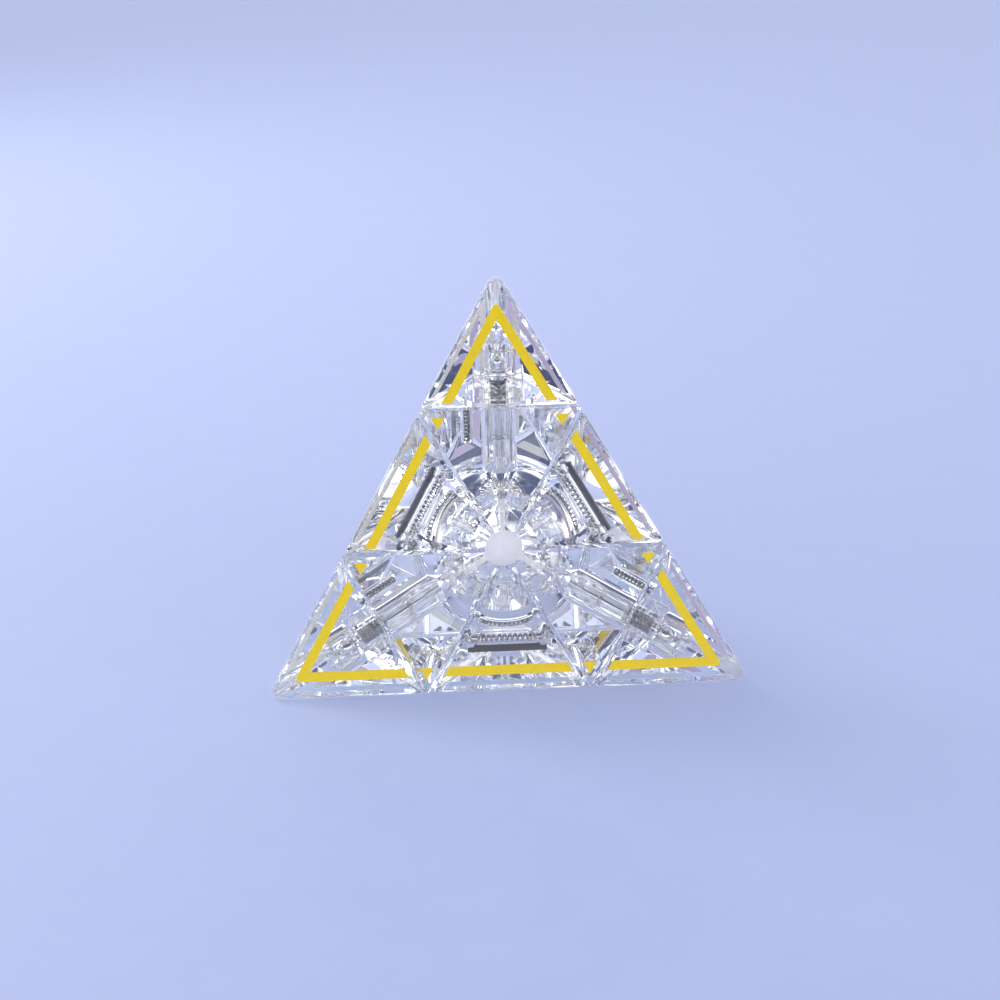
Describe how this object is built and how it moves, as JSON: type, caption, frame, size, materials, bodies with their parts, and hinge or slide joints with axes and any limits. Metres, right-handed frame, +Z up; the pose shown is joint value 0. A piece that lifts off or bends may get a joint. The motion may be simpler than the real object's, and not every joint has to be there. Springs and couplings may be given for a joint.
{
  "type": "pyramid twisty puzzle",
  "caption": "Clear plastic pyramid puzzle with turning tips and layers, a central core with sprung screws, and ball detents, standing on one face.",
  "frame": {"origin": "centre of the core, where the four turning axes cross, which is also the pyramid's centroid", "axes": "+Z up through the top corner; the base face looks down -Z, the front face towards -Y, and +X is to its right"},
  "size_m": [0.095, 0.0826, 0.0776],
  "materials": {
    "clear_plastic": "polished, clear, colourless",
    "core_plastic": "frosted, lavender grey",
    "screw_steel": "bright plated",
    "ball_steel": "polished bearing steel",
    "spring_steel": "dark oiled wire",
    "yellow_print": "pad-printed ink on the front face",
    "blue_print": "pad-printed ink on the base face",
    "white_print": "pad-printed ink on the rear left face",
    "violet_print": "pale pad-printed ink on the rear right face"
  },
  "bodies": {
    "core": {"core": "core_plastic", "screws": "screw_steel", "washers": "screw_steel", "tension_springs": "spring_steel", "spring_cups": "clear_plastic"},
    "axial_top": {"axial_body_top": "clear_plastic", "axial_column_top": "clear_plastic", "tip_detent_spring_top": "spring_steel", "tip_detent_ball_top": "ball_steel"},
    "tip_top": {"tip_cap_top": "clear_plastic", "tip_base_top": "clear_plastic"},
    "axial_left": {"axial_body_left": "clear_plastic", "axial_column_left": "clear_plastic", "tip_detent_spring_left": "spring_steel", "tip_detent_ball_left": "ball_steel"},
    "tip_left": {"tip_cap_left": "clear_plastic", "tip_base_left": "clear_plastic"},
    "axial_right": {"axial_body_right": "clear_plastic", "axial_column_right": "clear_plastic", "tip_detent_spring_right": "spring_steel", "tip_detent_ball_right": "ball_steel"},
    "tip_right": {"tip_cap_right": "clear_plastic", "tip_base_right": "clear_plastic"},
    "axial_back": {"axial_body_back": "clear_plastic", "axial_column_back": "clear_plastic", "tip_detent_spring_back": "spring_steel", "tip_detent_ball_back": "ball_steel"},
    "tip_back": {"tip_cap_back": "clear_plastic", "tip_base_back": "clear_plastic"},
    "edge_top_left": {"edge_block_top_left": "clear_plastic", "edge_foot_top_left": "clear_plastic", "edge_spring_top_left": "spring_steel", "edge_ball_a_top_left": "ball_steel", "edge_ball_b_top_left": "ball_steel"},
    "edge_top_right": {"edge_block_top_right": "clear_plastic", "edge_foot_top_right": "clear_plastic", "edge_spring_top_right": "spring_steel", "edge_ball_a_top_right": "ball_steel", "edge_ball_b_top_right": "ball_steel"},
    "edge_top_back": {"edge_block_top_back": "clear_plastic", "edge_foot_top_back": "clear_plastic", "edge_spring_top_back": "spring_steel", "edge_ball_a_top_back": "ball_steel", "edge_ball_b_top_back": "ball_steel"},
    "edge_left_right": {"edge_block_left_right": "clear_plastic", "edge_foot_left_right": "clear_plastic", "edge_spring_left_right": "spring_steel", "edge_ball_a_left_right": "ball_steel", "edge_ball_b_left_right": "ball_steel"},
    "edge_right_back": {"edge_block_right_back": "clear_plastic", "edge_foot_right_back": "clear_plastic", "edge_spring_right_back": "spring_steel", "edge_ball_a_right_back": "ball_steel", "edge_ball_b_right_back": "ball_steel"},
    "edge_back_left": {"edge_block_back_left": "clear_plastic", "edge_foot_back_left": "clear_plastic", "edge_spring_back_left": "spring_steel", "edge_ball_a_back_left": "ball_steel", "edge_ball_b_back_left": "ball_steel"}
  },
  "joints": [
    {"name": "turn_top", "type": "hinge", "parent": "core", "child": "axial_top", "pos_m": [0, 0, 0], "axis": [0, 0, 1], "range_deg": [-240, 120]},
    {"name": "turn_left", "type": "hinge", "parent": "core", "child": "axial_left", "pos_m": [0, 0, 0], "axis": [-0.8165, -0.4714, -0.3333], "range_deg": [-240, 120]},
    {"name": "turn_right", "type": "hinge", "parent": "core", "child": "axial_right", "pos_m": [0, 0, 0], "axis": [0.8165, -0.4714, -0.3333], "range_deg": [-240, 120]},
    {"name": "turn_back", "type": "hinge", "parent": "core", "child": "axial_back", "pos_m": [0, 0, 0], "axis": [0, 0.9428, -0.3333], "range_deg": [-240, 120]},
    {"name": "spin_tip_top", "type": "hinge", "parent": "axial_top", "child": "tip_top", "pos_m": [0, 0, 0.0375], "axis": [0, 0, 1], "continuous": true},
    {"name": "spin_tip_left", "type": "hinge", "parent": "axial_left", "child": "tip_left", "pos_m": [-0.03062, -0.01768, -0.0125], "axis": [-0.8165, -0.4714, -0.3333], "continuous": true},
    {"name": "spin_tip_right", "type": "hinge", "parent": "axial_right", "child": "tip_right", "pos_m": [0.03062, -0.01768, -0.0125], "axis": [0.8165, -0.4714, -0.3333], "continuous": true},
    {"name": "spin_tip_back", "type": "hinge", "parent": "axial_back", "child": "tip_back", "pos_m": [0, 0.03536, -0.0125], "axis": [0, 0.9428, -0.3333], "continuous": true},
    {"name": "edge_top_left_with_left", "type": "hinge", "parent": "axial_top", "child": "edge_top_left", "pos_m": [0, 0, 0], "axis": [-0.8165, -0.4714, -0.3333], "range_deg": [-240, 120]},
    {"name": "edge_top_right_with_right", "type": "hinge", "parent": "axial_top", "child": "edge_top_right", "pos_m": [0, 0, 0], "axis": [0.8165, -0.4714, -0.3333], "range_deg": [-240, 120]},
    {"name": "edge_top_back_with_back", "type": "hinge", "parent": "axial_top", "child": "edge_top_back", "pos_m": [0, 0, 0], "axis": [0, 0.9428, -0.3333], "range_deg": [-240, 120]},
    {"name": "edge_left_right_with_right", "type": "hinge", "parent": "axial_left", "child": "edge_left_right", "pos_m": [0, 0, 0], "axis": [0.8165, -0.4714, -0.3333], "range_deg": [-240, 120]},
    {"name": "edge_right_back_with_back", "type": "hinge", "parent": "axial_right", "child": "edge_right_back", "pos_m": [0, 0, 0], "axis": [0, 0.9428, -0.3333], "range_deg": [-240, 120]},
    {"name": "edge_back_left_with_left", "type": "hinge", "parent": "axial_back", "child": "edge_back_left", "pos_m": [0, 0, 0], "axis": [-0.8165, -0.4714, -0.3333], "range_deg": [-240, 120]}
  ],
  "couplings": [
    {"joint": "edge_top_left_with_left", "follows": "turn_left", "ratio": 1},
    {"joint": "edge_top_right_with_right", "follows": "turn_right", "ratio": 1},
    {"joint": "edge_top_back_with_back", "follows": "turn_back", "ratio": 1},
    {"joint": "edge_left_right_with_right", "follows": "turn_right", "ratio": 1},
    {"joint": "edge_right_back_with_back", "follows": "turn_back", "ratio": 1},
    {"joint": "edge_back_left_with_left", "follows": "turn_left", "ratio": 1}
  ]
}
